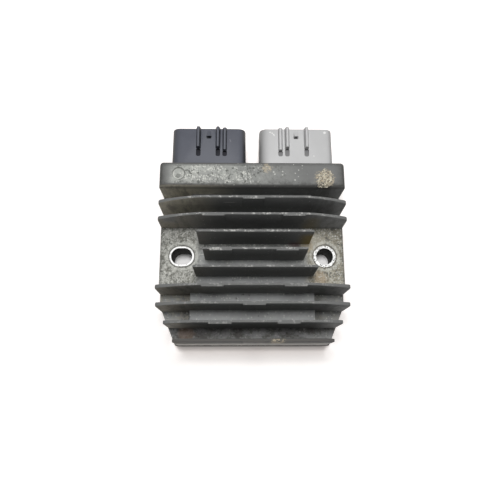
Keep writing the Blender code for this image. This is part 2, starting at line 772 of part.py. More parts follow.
def can_capacitor():
    """A can that lies along X: a turned profile with the rolled groove near its sealed end."""
    radius = CAN_DIAMETER / 2
    groove = CAN_GROOVE
    half = CAN_LENGTH / 2
    roll = CAN_ROLL - half
    profile = [
        (0, half),
        (radius - groove, half),
        (radius, half - groove),
        (radius, roll + groove),
        (radius - groove, roll),
        (radius, roll - groove),
        (radius, -half + groove),
        (radius - groove, -half),
        (0, -half),
    ]
    shape = bmesh.new()
    line = [shape.verts.new((x, 0, z)) for x, z in profile]
    for pair in zip(line, line[1:]):
        shape.edges.new(pair)
    mesh = bpy.data.meshes.new("reference_capacitor")
    shape.to_mesh(mesh)
    shape.free()
    can = add("reference_capacitor", mesh, "capacitor_can", (CAPACITOR_PLACE, BOARD_Y, BOARD_SEAT + radius))
    can.rotation_euler = (0, math.radians(90), 0)
    turn = can.modifiers.new("turned", "SCREW")
    turn.steps = turn.render_steps = MEDIUM
    turn.use_merge_vertices = True
    turn.merge_threshold = 0.00001
    return can


def resistor_place(i):
    return ((i - 1) * PACKAGE_PITCH, BOARD_Y - PACKAGE_ROW / 2, BOARD_SEAT)


def sense_resistors():
    width, depth, height = RESISTOR_SIZE
    cap_width, cap_depth, cap_height = RESISTOR_CAP
    for i in range(PACKAGE_COUNT):
        place = resistor_place(i)
        lift = (cap_height - height) / 2
        name = f"sense_resistor_{i + 1}"
        low = (-width / 2 + cap_width / 2, -depth / 2, lift)
        high = (width / 2 - cap_width / 2, depth / 2, lift + height)
        body = block(name, low, high, "resistor_body", place)
        for side in (-1, 1):
            inner, outer = sorted((side * (width / 2 - cap_width), side * width / 2))
            cap_low = (inner, -cap_depth / 2, 0)
            cap_high = (outer, cap_depth / 2, cap_height)
            join(body, block(f"{name}_cap_{side}", cap_low, cap_high, place=place))
        apply_modifiers(body)


def pocket(name, place, size, below=False):
    """Room for a piece of the given size in the resin: on its place, or hanging below it."""
    width, depth, height = size
    x, y, z = place
    if below:
        low_z, high_z = z - height - CLEARANCE, z + OVERLAP
    else:
        low_z, high_z = z - 2 * CLEARANCE, z + height + CLEARANCE
    low = (x - width / 2 - CLEARANCE, y - depth / 2 - CLEARANCE, low_z)
    high = (x + width / 2 + CLEARANCE, y + depth / 2 + CLEARANCE, high_z)
    return block(f"{name}_pocket", low, high)


def potting_compound():
    """The resin: the cavity's own shape, less the pieces that it was poured round."""
    south, north = CAVITY_SOUTH + CLEARANCE, HEADER_CAVITY_NORTH - CLEARANCE
    head_south = HEADER_CAVITY_SOUTH + CLEARANCE
    radius = CAVITY_CORNER - CLEARANCE
    main = rounded_box(2 * (CAVITY_HALF - CLEARANCE), north - south, radius, (0, (north + south) / 2))
    head = rounded_box(
        2 * (HEADER_CAVITY_HALF - CLEARANCE), north - head_south, radius, (0, (north + head_south) / 2)
    )
    ceiling = HEADER_CAVITY_CEILING - CLEARANCE
    resin = extrude("potting_compound", head, POTTING_RECESS, ceiling, paint="potting_resin")
    join(resin, extrude("resin_under_roof", main, POTTING_RECESS, PACKAGE_TOP))

    head_half, substrate_south, substrate_north = substrate_head()
    low = (-head_half - CLEARANCE, CAVITY_SOUTH, PACKAGE_TOP)
    high = (head_half + CLEARANCE, substrate_north + CLEARANCE, SUBSTRATE_TOP + CLEARANCE)
    cut(resin, block("substrate_pocket", low, high))
    for name, side in (("stator", -1), ("output", 1)):
        place = shell_place(side)
        tail = shell_outline(CLEARANCE)
        cut(resin, extrude(f"{name}_tail_pocket", tail, SHELL_REAR - CLEARANCE, OVERLAP, "XZ", place=place))
        for i, offset in enumerate(blade_offsets()):
            half = BLADE_WIDTH / 2 + CLEARANCE
            bend = SHELL_REAR - BLADE_BEND - BLADE_THICKNESS - BLADE_FOOT
            low = (offset - half, bend - CLEARANCE, SUBSTRATE_TOP - SHELL_Z)
            high = (offset + half, SHELL_REAR + OVERLAP, BLADE_THICKNESS / 2 + CLEARANCE)
            cut(resin, block(f"{name}_blade_pocket_{i}", low, high, place=place))

    lead = LEAD_SIZE[1]
    tab = TAB_SIZE[1]
    for name, (x, y, z), row in package_places():
        size = (PACKAGE_SIZE[0], PACKAGE_SIZE[1] + lead + tab, PACKAGE_SIZE[2])
        cut(resin, pocket(name, (x, y + row * (tab - lead) / 2, z), size, below=True))
    cut(resin, pocket("control_board", (0, BOARD_Y, BOARD_BOTTOM + CLEARANCE), BOARD_SIZE))
    chip_room = (CHIP_SIZE[0], CHIP_SIZE[1] + 2 * CHIP_LEAD[1], CHIP_SIZE[2])
    cut(resin, pocket("controller_chip", chip_place(), chip_room))
    can_room = (CAN_LENGTH, CAN_DIAMETER, CAN_DIAMETER)
    cut(resin, pocket("filter_capacitor", (-CAPACITOR_PLACE, BOARD_Y, BOARD_SEAT), FILM_SIZE))
    cut(resin, pocket("reference_capacitor", (CAPACITOR_PLACE, BOARD_Y, BOARD_SEAT), can_room))
    resistor_room = (RESISTOR_SIZE[0], RESISTOR_CAP[1], RESISTOR_CAP[2])
    for i in range(PACKAGE_COUNT):
        cut(resin, pocket(f"sense_resistor_{i}", resistor_place(i), resistor_room))
    for i, centre in enumerate(pin_places()):
        hole = stadium(0, PIN_DIAMETER + 2 * CLEARANCE, centre, COARSE)
        low = BOARD_BOTTOM - PIN_PROTRUSION - CLEARANCE
        cut(resin, extrude(f"pin_pocket_{i}", hole, low, SUBSTRATE_BOTTOM + OVERLAP))
    apply_modifiers(resin)
    return resin


finned_housing()
keyed_shell("stator_connector_shell", -1, 1, "black_plastic")
keyed_shell("output_connector_shell", 1, -1, "grey_plastic")
blades()
power_substrate()
power_packages()
control_board()
controller_chip()
film_capacitor()
can_capacitor()
sense_resistors()
potting_compound()
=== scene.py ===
import json
import math
import random
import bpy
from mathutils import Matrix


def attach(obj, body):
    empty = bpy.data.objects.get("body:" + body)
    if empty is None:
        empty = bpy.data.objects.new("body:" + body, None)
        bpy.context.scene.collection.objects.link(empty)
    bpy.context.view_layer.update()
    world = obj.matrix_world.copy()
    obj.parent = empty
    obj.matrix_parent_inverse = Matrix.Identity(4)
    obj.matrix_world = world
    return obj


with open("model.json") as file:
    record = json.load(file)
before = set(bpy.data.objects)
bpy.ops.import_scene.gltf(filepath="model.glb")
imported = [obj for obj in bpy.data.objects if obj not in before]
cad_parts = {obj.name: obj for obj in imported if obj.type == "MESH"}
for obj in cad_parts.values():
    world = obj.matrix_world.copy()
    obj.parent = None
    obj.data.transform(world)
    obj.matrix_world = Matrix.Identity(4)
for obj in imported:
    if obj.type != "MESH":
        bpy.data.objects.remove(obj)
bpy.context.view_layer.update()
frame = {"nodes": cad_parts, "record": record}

from types import SimpleNamespace

import bmesh
import bpy
from mathutils import Vector, noise

NODES = frame["nodes"]
MM = 0.001

# Sizes and places on the part, in millimetres, for the wear that sits there
HOLE_Y = -10.9
HOLE_RADIUS = 4.45
RIGHT_HOLE_X = 38.1
SLOT_X = -36.9
SLOT_HALF_TRAVEL = 1.1
SLOT_RING_RADIUS = 5.28
ROUND_RING_RADIUS = 5.75
FIN_1_Y = 14.41
FIN_PITCH = 8.64
EAR_TOP = 15.0
EAR_SOUTH = -28.5
EAR_NORTH = 5.5
LEDGE_TOP = 9.0
LAST_LEDGE_Y = -47.0
SOUTH_END = -56.9
HEADER_TOP = 27.5
HEADER_SOUTH = 23.2
MARK_X = -38.2
MARK_Y = 30.16
MARK_RADIUS = 3.1
SHELL_TOP = 25.0
BLACK_NIB_X = -23.0
GREY_NIB_X = 23.4

# Stains: X and Y, and a radius where the stain is a ragged patch
YELLOW_PLACE = (30.0, -1.6)
DAMP_PLACE = (22.5, -3.8)
PALE_PATCH = (33.6, -2.6, 4.4)
BROWN_PATCH = (35.6, -22.6, 3.2)
RUST_PATCH = (-34.0, -50.5, 4.2)
SCAR_PATCH = (MARK_X - 0.3, MARK_Y - 1.2, 1.3)
EAR_FOOT_PATCH = (28.8, -5.2, 3.2)
HEADER_PATCH = (7.5, 33.6, 2.6)
LOW_END_PATCH = (11.2, -55.2, 3.0)

# Crumbs of corrosion on the header: middle and radius of the patch, then the crumbs themselves
CRUST_X = 37.6
CRUST_Y = 27.6
CRUST_RADIUS = 4.6
CRUMB_COUNT = 300
CRUMB_SIZES = (0.14, 0.38)
CRUMB_FLATNESS = 0.55
CRUMB_ROUGHNESS = 0.45

# Webs under the latch nibs
WEB_Y = 51.96
WEB_Z = 23.95
WEB_HALF_WIDTH = 1.38
WEB_HALF_LENGTH = 0.53
WEB_SAG = 0.25
WEB_THICKNESS = 0.4

# Colours of the casting, as light shares of red, green and blue
SKIN_DARK = (0.118, 0.122, 0.122)
SKIN_LIGHT = (0.205, 0.208, 0.203)
SKIN_BLOOM = (0.240, 0.240, 0.232)
LIT_FLOOR_GREY = (0.375, 0.382, 0.382)
SOUTH_SHADE_GREY = (0.060, 0.062, 0.064)
OLIVE = (0.235, 0.210, 0.160)
WASHED_OLIVE = (0.500, 0.465, 0.370)
LOW_END_BOUNCE_GREY = (0.500, 0.475, 0.445)
OXIDE = (0.445, 0.455, 0.425)
# Dark pits, also used as a painted shade line
PIT_AND_SHADE = (0.105, 0.110, 0.100)
# Pale crumbs, also used as painted highlight
CRUMB_AND_HIGHLIGHT = (0.640, 0.645, 0.600)
# Dark grey for dirt, also used as painted shade
GRIME_AND_SHADE = (0.055, 0.054, 0.050)
CREST_GREY = (0.140, 0.142, 0.139)
LAST_CREST = (0.084, 0.078, 0.072)
BARE_METAL = (0.520, 0.520, 0.490)
RING_METAL = (0.780, 0.780, 0.770)
BROWN_DIRT = (0.060, 0.053, 0.045)
RUST = (0.240, 0.160, 0.115)
YELLOW = (0.185, 0.135, 0.035)
DAMP_RED = (0.120, 0.060, 0.055)
BEIGE = (0.520, 0.450, 0.330)
LEFT_EAR_DARK = (0.180, 0.178, 0.155)
LEFT_EAR_LIGHT = (0.480, 0.478, 0.440)
RIGHT_EAR_DARK = (0.215, 0.196, 0.150)
RIGHT_EAR_LIGHT = (0.420, 0.398, 0.330)
EAR_PALE = (0.520, 0.490, 0.410)
EAR_BROWN = (0.360, 0.265, 0.165)

# Colours of the other pieces
SHELL_SHADE = (0.010, 0.011, 0.010)
NIB_SHADE = (0.010, 0.010, 0.012)
HOLLOW_SHADE = (0.012, 0.012, 0.014)
BRASS_DULL = (0.62, 0.60, 0.54)
BRASS_BRIGHT = (0.80, 0.79, 0.74)
BRASS_WORN = (0.75, 0.60, 0.34)
RESIN_DARK = (0.010, 0.010, 0.011)
RESIN_LIGHT = (0.022, 0.022, 0.023)
RESIN_DUST = (0.16, 0.15, 0.13)
CRUST_SHADE = (0.16, 0.135, 0.100)
CRUST_LIGHT = (0.84, 0.79, 0.65)

# The two shells: colours, roughness, how strong the painted shade on shoulders and in recesses is,
# how far that painted shade dulls the recesses' reflection, the latch nib's X, and chafed places as
# X, Y and radius
SHELLS = {
    "black_plastic": {
        "dark": (0.053, 0.057, 0.074), "light": (0.081, 0.087, 0.110), "scuff": (0.20, 0.20, 0.22),
        "roughness": 0.48, "shoulder_shade": 0.65, "recess_shade": 0.95, "muted": 1.0, "nib_x": BLACK_NIB_X,
        "marks": ((-11.9, 50.4, 0.22), (-11.6, 49.9, 0.24), (-11.4, 49.3, 0.18)),
    },
    "grey_plastic": {
        "dark": (0.46, 0.46, 0.46), "light": (0.54, 0.54, 0.54), "scuff": (0.85, 0.85, 0.83),
        "roughness": 0.45, "shoulder_shade": 0.20, "recess_shade": 0.70, "muted": 0.0, "nib_x": GREY_NIB_X,
        "marks": ((9.6, 54.9, 0.35), (10.7, 54.4, 0.40), (11.5, 53.6, 0.40), (11.8, 52.9, 0.30),
                  (38.9, 54.9, 0.7), (32.7, 41.3, 0.28)),
    },
}

# Hidden parts: dark colour, light colour, size of the mottling in millimetres, roughness, metallic
PLAIN_PARTS = {
    "package_epoxy": ((0.014, 0.014, 0.015), (0.028, 0.028, 0.029), 0.9, 0.55, 0.0),
    "insulated_metal": ((0.38, 0.38, 0.37), (0.55, 0.55, 0.54), 3.0, 0.4, 0.8),
    "circuit_board": ((0.010, 0.085, 0.035), (0.016, 0.13, 0.05), 5.0, 0.4, 0.0),
    "film_capacitor": ((0.26, 0.035, 0.02), (0.38, 0.06, 0.035), 2.0, 0.25, 0.0),
    "capacitor_can": ((0.50, 0.50, 0.50), (0.68, 0.68, 0.68), 2.5, 0.3, 0.9),
    "resistor_body": ((0.035, 0.035, 0.045), (0.06, 0.06, 0.07), 0.8, 0.5, 0.0),
}

# Shading: facets that meet at less than this many degrees are smoothed
SMOOTH_DEGREES = 32
WELD_DISTANCE = 0.002

# Camera, fitted to the photograph
CAMERA_PLACE = (-0.00591, -0.06074, 0.24802)
CAMERA_TURN = (12.865, -1.127, -0.18)
CAMERA_LENS = 32.74
CAMERA_SENSOR = 36
CAMERA_NEAR = 0.005

# Lights: name, place, size and level
LAMPS = (("overhead", (-0.02, 0.08, 0.75), 0.18, 0.76), ("north", (0.05, 0.45, 0.60), 0.30, 0.08))
WORLD_LEVEL = 0.20
FLOOR_HALF = 1.5
FLOOR_DROP = 0.02
FLOOR_COLOUR = (0.92, 0.91, 0.905, 1)
GLOW_COLOUR = (1.0, 0.90, 0.85, 1)

# Light that the floor adds for the camera, low next to the part so that it paints the part's
# shadow: millimetres outside the part's outline, and strength.
# The outline is a rectangle that narrows towards the low end.
FLOOR_GLOW = ((0.0, 0.0), (0.4, 0.20), (1.6, 0.24), (2.8, 0.38),
              (4.4, 0.32), (6.6, 0.24), (9.0, 0.24), (20.0, 0.40))
GLOW_NORTH = 32.0
OUTLINE_HALF_WIDTH = 46.0
TAPER_START = -36.4
TAPER_SLOPE = 0.42


class Paint:
    """A Principled material whose colour, roughness and relief come from nodes, in millimetres.

    A seed shifts a texture, so that two of them don't share their pattern.
    """

    SEED_STEP = (17.3, 7.7, 3.1)
    EDGE_SEED = 40

    def __init__(self, name, roughness=0.5, metallic=0.0):
        self.material = bpy.data.materials.new(name)
        self.material.use_nodes = True
        self.tree = self.material.node_tree
        self.tree.nodes.clear()
        self.shader = self.add("ShaderNodeBsdfPrincipled")
        output = self.add("ShaderNodeOutputMaterial")
        self.tree.links.new(self.shader.outputs["BSDF"], output.inputs["Surface"])
        self.shader.inputs["Roughness"].default_value = roughness
        self.shader.inputs["Metallic"].default_value = metallic
        where = self.add("ShaderNodeTexCoord")
        scaled = self.add("ShaderNodeVectorMath", operation="SCALE")
        scaled.inputs["Scale"].default_value = 1 / MM
        self.tree.links.new(where.outputs["Object"], scaled.inputs[0])
        self.place = scaled.outputs["Vector"]
        self.x, self.y, self.z = self.split(self.place)
        _, self.face_y, self.face_z = self.split(where.outputs["Normal"])

    def add(self, kind, **settings):
        node = self.tree.nodes.new(kind)
        for name, value in settings.items():
            setattr(node, name, value)
        return node

    def feed(self, socket, value):
        """Links a socket's output to it, or sets a plain number, colour or vector."""
        if isinstance(value, bpy.types.NodeSocket):
            self.tree.links.new(value, socket)
        elif isinstance(value, (tuple, list)) and len(value) == 3 and socket.type == "RGBA":
            socket.default_value = (*value, 1.0)
        else:
            socket.default_value = value

    def split(self, vector):
        node = self.add("ShaderNodeSeparateXYZ")
        self.feed(node.inputs[0], vector)
        return node.outputs[0], node.outputs[1], node.outputs[2]

    def join(self, x, y, z):
        node = self.add("ShaderNodeCombineXYZ")
        for socket, value in zip(node.inputs, (x, y, z)):
            self.feed(socket, value)
        return node.outputs[0]

    def math(self, operation, a, b=0.0):
        node = self.add("ShaderNodeMath", operation=operation)
        self.feed(node.inputs[0], a)
        self.feed(node.inputs[1], b)
        return node.outputs[0]

    def plus(self, a, b):
        return self.math("ADD", a, b)

    def minus(self, a, b):
        return self.math("SUBTRACT", a, b)

    def size(self, value):
        return self.math("ABSOLUTE", value)

    def times(self, first, *others):
        for other in others:
            first = self.math("MULTIPLY", first, other)
        return first

    def most(self, first, *others):
        for other in others:
            first = self.math("MAXIMUM", first, other)
        return first

    def level(self, value, low, high):
        """0 where the value is at low or beyond, 1 at high or beyond; low may be the larger."""
        node = self.add("ShaderNodeMapRange", interpolation_type="SMOOTHSTEP")
        self.feed(node.inputs["Value"], value)
        turned = low > high
        node.inputs["From Min"].default_value = high if turned else low
        node.inputs["From Max"].default_value = low if turned else high
        node.inputs["To Min"].default_value = 1.0 if turned else 0.0
        node.inputs["To Max"].default_value = 0.0 if turned else 1.0
        return node.outputs["Result"]

    def between(self, value, low, high, soft):
        """1 from low to high, with soft edges."""
        rise = self.level(value, low - soft, low + soft)
        fall = self.level(value, high + soft, high - soft)
        return self.times(rise, fall)

    def mix(self, factor, a, b):
        """A colour from a to b."""
        node = self.add("ShaderNodeMix", data_type="RGBA")
        for name, value in (("Factor", factor), ("A", a), ("B", b)):
            self.feed(node.inputs[name], value)
        return node.outputs["Result"]

    def blend(self, factor, a, b):
        """A number from a to b."""
        node = self.add("ShaderNodeMix", data_type="FLOAT")
        for name, value in (("Factor", factor), ("A", a), ("B", b)):
            self.feed(node.inputs[name], value)
        return node.outputs["Result"]

    def coat(self, colour, over, *masks):
        """The colour with another over it, as strong as the masks multiplied."""
        return self.mix(self.times(*masks), colour, over)

    def shifted(self, seed, stretch=(1, 1, 1)):
        node = self.add("ShaderNodeVectorMath", operation="MULTIPLY_ADD")
        self.feed(node.inputs[0], self.place)
        node.inputs[1].default_value = stretch
        node.inputs[2].default_value = [seed * step for step in self.SEED_STEP]
        return node.outputs["Vector"]

    def clouds(self, size, seed, detail=3.0, rough=0.55, stretch=(1, 1, 1), bend=0.0):
        """Noise from 0 to 1 whose blobs are about size millimetres."""
        node = self.add("ShaderNodeTexNoise")
        self.feed(node.inputs["Vector"], self.shifted(seed, stretch))
        node.inputs["Scale"].default_value = 1 / size
        node.inputs["Detail"].default_value = detail
        node.inputs["Roughness"].default_value = rough
        node.inputs["Distortion"].default_value = bend
        return node.outputs["Fac"]

    def patches(self, low, high, size, seed, detail=3.0, rough=0.55, stretch=(1, 1, 1)):
        """1 where such noise is over high, 0 where it is under low, or the other way round."""
        return self.level(self.clouds(size, seed, detail, rough, stretch), low, high)

    def grains(self, spacing, radius, share, seed):
        """1 on ragged grains of about that radius, in that share of the places."""
        node = self.add("ShaderNodeTexVoronoi")
        self.feed(node.inputs["Vector"], self.shifted(seed))
        node.inputs["Scale"].default_value = 1 / spacing
        picked = self.level(self.split(node.outputs["Color"])[0], share + 0.01, share - 0.01)
        wander = self.minus(self.clouds(radius * 1.4, seed + self.EDGE_SEED, 3.0, 0.7), 0.5)
        away = self.plus(self.times(node.outputs["Distance"], spacing),
                         self.times(wander, radius * 1.8))
        return self.times(picked, self.level(away, radius * 1.2, radius * 0.7))

    def length(self, vector):
        node = self.add("ShaderNodeVectorMath", operation="LENGTH")
        self.feed(node.inputs[0], vector)
        return node.outputs["Value"]

    def distance(self, x, y):
        """Distance in plan from a point, in millimetres."""
        aside = self.minus(self.x, x)
        along = self.minus(self.y, y)
        return self.length(self.join(aside, along, 0.0))

    def spot(self, x, y, radius, ragged, seed, size=2.0):
        """1 inside a round patch, with an edge broken up by noise."""
        away = self.distance(x, y)
        wander = self.minus(self.clouds(size, seed, 4.0, 0.7), 0.5)
        away = self.plus(away, self.times(wander, ragged * 2))
        return self.level(away, radius * 1.25, radius * 0.75)

    def relief(self, height, depth):
        """Bump of that depth in millimetres, from a height of 0 to 1."""
        node = self.add("ShaderNodeBump")
        node.inputs["Strength"].default_value = 1.0
        node.inputs["Distance"].default_value = depth * MM
        self.feed(node.inputs["Height"], height)
        self.feed(self.shader.inputs["Normal"], node.outputs["Normal"])

    def finish(self, colour, roughness=None, metallic=None):
        self.feed(self.shader.inputs["Base Color"], colour)
        if roughness is not None:
            self.feed(self.shader.inputs["Roughness"], roughness)
        if metallic is not None:
            self.feed(self.shader.inputs["Metallic"], metallic)
        return self.material


# The casting's material

def height_band(paint, height):
    """1 on faces at about that height."""
    return paint.between(paint.z, height - 0.6, height + 0.5, 0.2)


def casting_masks(paint):
    """Where the casting's several surfaces are, from height, facing and place."""
    at = SimpleNamespace()
    at.up = paint.level(paint.face_z, 0.45, 0.8)
    at.aside = paint.size(paint.x)
    in_header = paint.level(paint.y, HEADER_SOUTH - 1.0, HEADER_SOUTH)
    below_header = paint.level(paint.y, HEADER_SOUTH - 1.0, HEADER_SOUTH - 2.0)
    at.roof = paint.times(at.up, height_band(paint, EAR_TOP), below_header)
    at.ledge = paint.times(at.up, height_band(paint, LEDGE_TOP))
    ear_span = paint.between(paint.y, EAR_SOUTH, EAR_NORTH, 0.6)
    at.valley = paint.math("FLOORED_MODULO", paint.minus(paint.y, FIN_1_Y), FIN_PITCH)
    at.south = paint.level(paint.face_y, -0.35, -0.75)
    near_top = paint.level(paint.z, HEADER_TOP - 2.2, HEADER_TOP - 1.0)
    at.header_top = paint.times(at.up, near_top, in_header)
    # The header's turned faces near its top, for dirt and painted shade
    at.header_edge = paint.times(paint.level(paint.face_z, 0.995, 0.80), in_header,
                                 paint.level(paint.z, HEADER_TOP - 5.0, HEADER_TOP - 2.5))
    at.crest = paint.times(paint.level(paint.face_z, 0.25, 0.6), below_header,
                           paint.level(paint.z, EAR_TOP + 1.5, EAR_TOP + 3.0))
    at.floor = paint.most(at.roof, at.ledge)
    at.drift = paint.clouds(8.0, 61, 4.0, 0.65)
    at.mottle = paint.clouds(2.2, 62, 6.0, 0.8)
    at.ear = paint.times(at.roof, ear_span, paint.level(at.aside, 26.0, 31.0))
    at.between_fins = paint.level(at.ear, 1.0, 0.0)
    at.broad = paint.clouds(16.0, 1, 3.0)
    at.fine = paint.clouds(1.6, 2, 5.0, 0.65)
    return at


def bare_skin(paint, at):
    """The casting's grey: cooler and, partly as painted light, lighter on the lower floors; a
    little aged on sides and north faces.
    """
    colour = paint.mix(at.broad, SKIN_DARK, SKIN_LIGHT)
    colour = paint.coat(colour, SKIN_BLOOM, at.fine, 0.5)
    # Lower floors: a cooler grey, lighter than the skin partly as painted light
    lit_lower_floors = paint.times(at.floor, paint.level(paint.y, -6.0, -15.0))
    cloudy = paint.blend(paint.patches(0.3, 0.7, 5.0, 20, 4.0, 0.65), 0.70, 1.0)
    colour = paint.coat(colour, LIT_FLOOR_GREY, lit_lower_floors, cloudy)
    aged = paint.minus(1.0, paint.most(at.up, at.south))
    colour = paint.coat(colour, GRIME_AND_SHADE, aged, paint.level(at.drift, 0.42, 0.60), 0.40)
    bloom = paint.times(paint.level(at.mottle, 0.52, 0.62), paint.grains(1.4, 0.60, 0.60, 58))
    return paint.coat(colour, OXIDE, aged, bloom, 0.35)


def south_sides(paint, at, colour):
    """Painted shade on south faces, an olive film towards the left, and at the low end painted
    shade and light.
    """
    # Painted shade on south faces that the fins shelter from the light, none at the sixth fin
    south_shade = paint.times(at.south, paint.level(paint.y, SOUTH_END + 1.0, SOUTH_END + 3.0),
                            paint.level(at.aside, 44.0, 26.0))
    sixth_fin = paint.between(paint.y, -32.5, -27.0, 1.0)
    colour = paint.coat(colour, SOUTH_SHADE_GREY, south_shade, paint.blend(sixth_fin, 0.40, 0.0))
    # An olive film towards the left, lighter partly as painted light from the open left end
    olive_film_and_light = paint.times(at.south, paint.level(paint.x, -14.0, -44.0),
                       paint.level(at.broad, 0.2, 0.6))
    colour = paint.coat(colour, OLIVE, olive_film_and_light, 0.75)

    # The header and the first fins are washed paler on the left, partly as painted light from the
    # open left end
    north_end = paint.times(at.south, paint.level(paint.y, 10.0, 12.0))
    on_header = paint.level(paint.y, HEADER_SOUTH - 3.0, HEADER_SOUTH - 1.0)
    washed_and_lit = paint.blend(on_header, paint.times(paint.level(paint.x, -14.0, -38.0), 0.75),
                         paint.level(paint.x, -4.0, -36.0))
    colour = paint.coat(colour, WASHED_OLIVE, north_end, washed_and_lit)

    bands = paint.patches(0.42, 0.62, 3.2, 30, 4.0, 0.7, stretch=(1, 1, 0.30))
    outer = paint.times(at.south, paint.level(at.aside, 16.0, 36.0), bands)
    colour = paint.coat(colour, GRIME_AND_SHADE, outer, 0.40)
    scrape = paint.times(at.south, paint.between(paint.z, 30.2, 30.5, 0.12),
                         paint.between(paint.x, -14.5, -9.0, 1.2),
                         paint.between(paint.y, 12.0, 15.0, 0.5))
    colour = paint.coat(colour, BARE_METAL, scrape)
    streaks = paint.patches(0.66, 0.74, 1.1, 21, 5.0, 0.75, stretch=(0.22, 1, 1))
    colour = paint.coat(colour, CRUMB_AND_HIGHLIGHT, at.south, paint.level(paint.y, -3.0, 3.0), streaks, 0.35)
    specks = paint.times(at.south, paint.level(at.aside, 46.0, 30.0),
                         paint.grains(1.9, 0.30, 0.35, 31))
    colour = paint.coat(colour, CRUMB_AND_HIGHLIGHT, specks, 0.40)

    # The wall at the low end: painted shade under the last crest, and below it a pale grey,
    # mottled, that is partly painted bounce light from the floor
    low_end_shade_and_bounce = paint.times(at.south, paint.level(paint.y, SOUTH_END + 3.0, SOUTH_END + 1.5))
    colour = paint.coat(colour, GRIME_AND_SHADE, low_end_shade_and_bounce, paint.level(paint.z, 20.0, 25.0), 0.65)
    mottled = paint.blend(paint.level(at.drift, 0.36, 0.62), 0.50, 0.85)
    return paint.coat(colour, LOW_END_BOUNCE_GREY, low_end_shade_and_bounce, paint.level(paint.z, 25.0, 20.0), mottled)


def header_oxide(paint, at, colour):
    """White oxide on the header's top, thick on the left and thin to the right, and its share."""
    top = paint.times(at.header_top, paint.level(paint.face_z, 0.90, 0.99))
    spread = paint.times(paint.level(paint.x, 38.0, -30.0), paint.level(paint.x, -47.0, -39.0))
    cloudy = paint.blend(paint.patches(0.38, 0.62, 6.0, 3, 6.0, 0.7), 0.55, 1.0)
    oxide = paint.times(top, cloudy, spread)
    colour = paint.coat(colour, OXIDE, oxide)
    worn = paint.times(top, paint.patches(0.50, 0.62, 4.2, 4, 8.0, 0.8),
                       paint.level(paint.x, 34.0, 0.0))
    colour = paint.coat(colour, SKIN_LIGHT, worn, 0.45)

    # Dark pits and pale crumbs, in clusters
    clusters = paint.patches(0.47, 0.55, 5.5, 27, 6.0, 0.75)
    inward = paint.level(paint.x, -44.0, -36.0)
    pits = paint.most(paint.grains(1.5, 0.72, 0.60, 32),
                      paint.times(paint.grains(0.9, 0.42, 0.65, 33), 0.8))
    colour = paint.coat(colour, PIT_AND_SHADE, top, pits, clusters, paint.level(paint.x, 26.0, 0.0), inward,
                        0.92)
    crumbs = paint.most(paint.grains(1.2, 0.52, 0.55, 34), paint.grains(0.8, 0.36, 0.50, 35))
    bloom = paint.patches(0.49, 0.57, 5.5, 36, 6.0, 0.75)
    colour = paint.coat(colour, CRUMB_AND_HIGHLIGHT, top, crumbs, bloom, paint.level(paint.x, 14.0, -8.0), inward,
                        0.95)
    loose = paint.times(paint.grains(2.1, 0.42, 0.42, 37), paint.level(paint.x, -38.0, -34.0))
    colour = paint.coat(colour, CRUMB_AND_HIGHLIGHT, at.header_top, loose, paint.level(paint.x, 42.0, 24.0), 0.80)
    # Dirt and painted shade along the header top's south edge
    near_edge = paint.level(paint.y, HEADER_SOUTH + 4.5, HEADER_SOUTH + 1.5)
    edge = paint.times(at.header_top, near_edge, paint.patches(0.44, 0.60, 2.8, 38, 6.0, 0.8))
    colour = paint.coat(colour, GRIME_AND_SHADE, edge, 0.45)
    colour = header_mark(paint, colour, top)

    # Mottled painted shade at both ends of the header top
    end_shade = paint.times(at.header_top, paint.level(at.aside, 42.0, 48.0))
    mottled = paint.blend(paint.patches(0.40, 0.62, 2.4, 46, 6.0, 0.8), 0.45, 0.75)
    colour = paint.coat(colour, GRIME_AND_SHADE, end_shade, mottled)
    # Dirt and painted shade on the header's rounded edges
    return paint.coat(colour, GRIME_AND_SHADE, at.header_edge, 0.55), oxide


def header_mark(paint, colour, top):
    """The ejector mark: a disc with a scar, a painted highlight on one side of its lip and painted
    shade on the other.
    """
    away = paint.distance(MARK_X, MARK_Y)
    middle = MARK_X + MARK_Y
    north_east = paint.level(paint.plus(paint.x, paint.y), middle - 3.5, middle + 2.5)
    disc = paint.times(top, paint.level(away, MARK_RADIUS, MARK_RADIUS - 0.3))
    colour = paint.coat(colour, OXIDE, disc, 0.30)
    scar = paint.times(disc, paint.spot(*SCAR_PATCH, 1.6, 45, 1.2))
    colour = paint.coat(colour, PIT_AND_SHADE, scar, 0.55)
    # Painted highlight on the lip's south-west side
    lip_highlight = paint.times(top, paint.between(away, MARK_RADIUS - 0.65, MARK_RADIUS - 0.2, 0.15))
    colour = paint.coat(colour, CRUMB_AND_HIGHLIGHT, lip_highlight, paint.blend(north_east, 0.85, 0.0))
    # Painted shade on a line round the rim, strongest to the north-east
    rim_shade_line = paint.times(top, paint.between(away, MARK_RADIUS - 0.05, MARK_RADIUS + 0.35, 0.15))
    return paint.coat(colour, PIT_AND_SHADE, rim_shade_line, paint.blend(north_east, 0.25, 0.85))


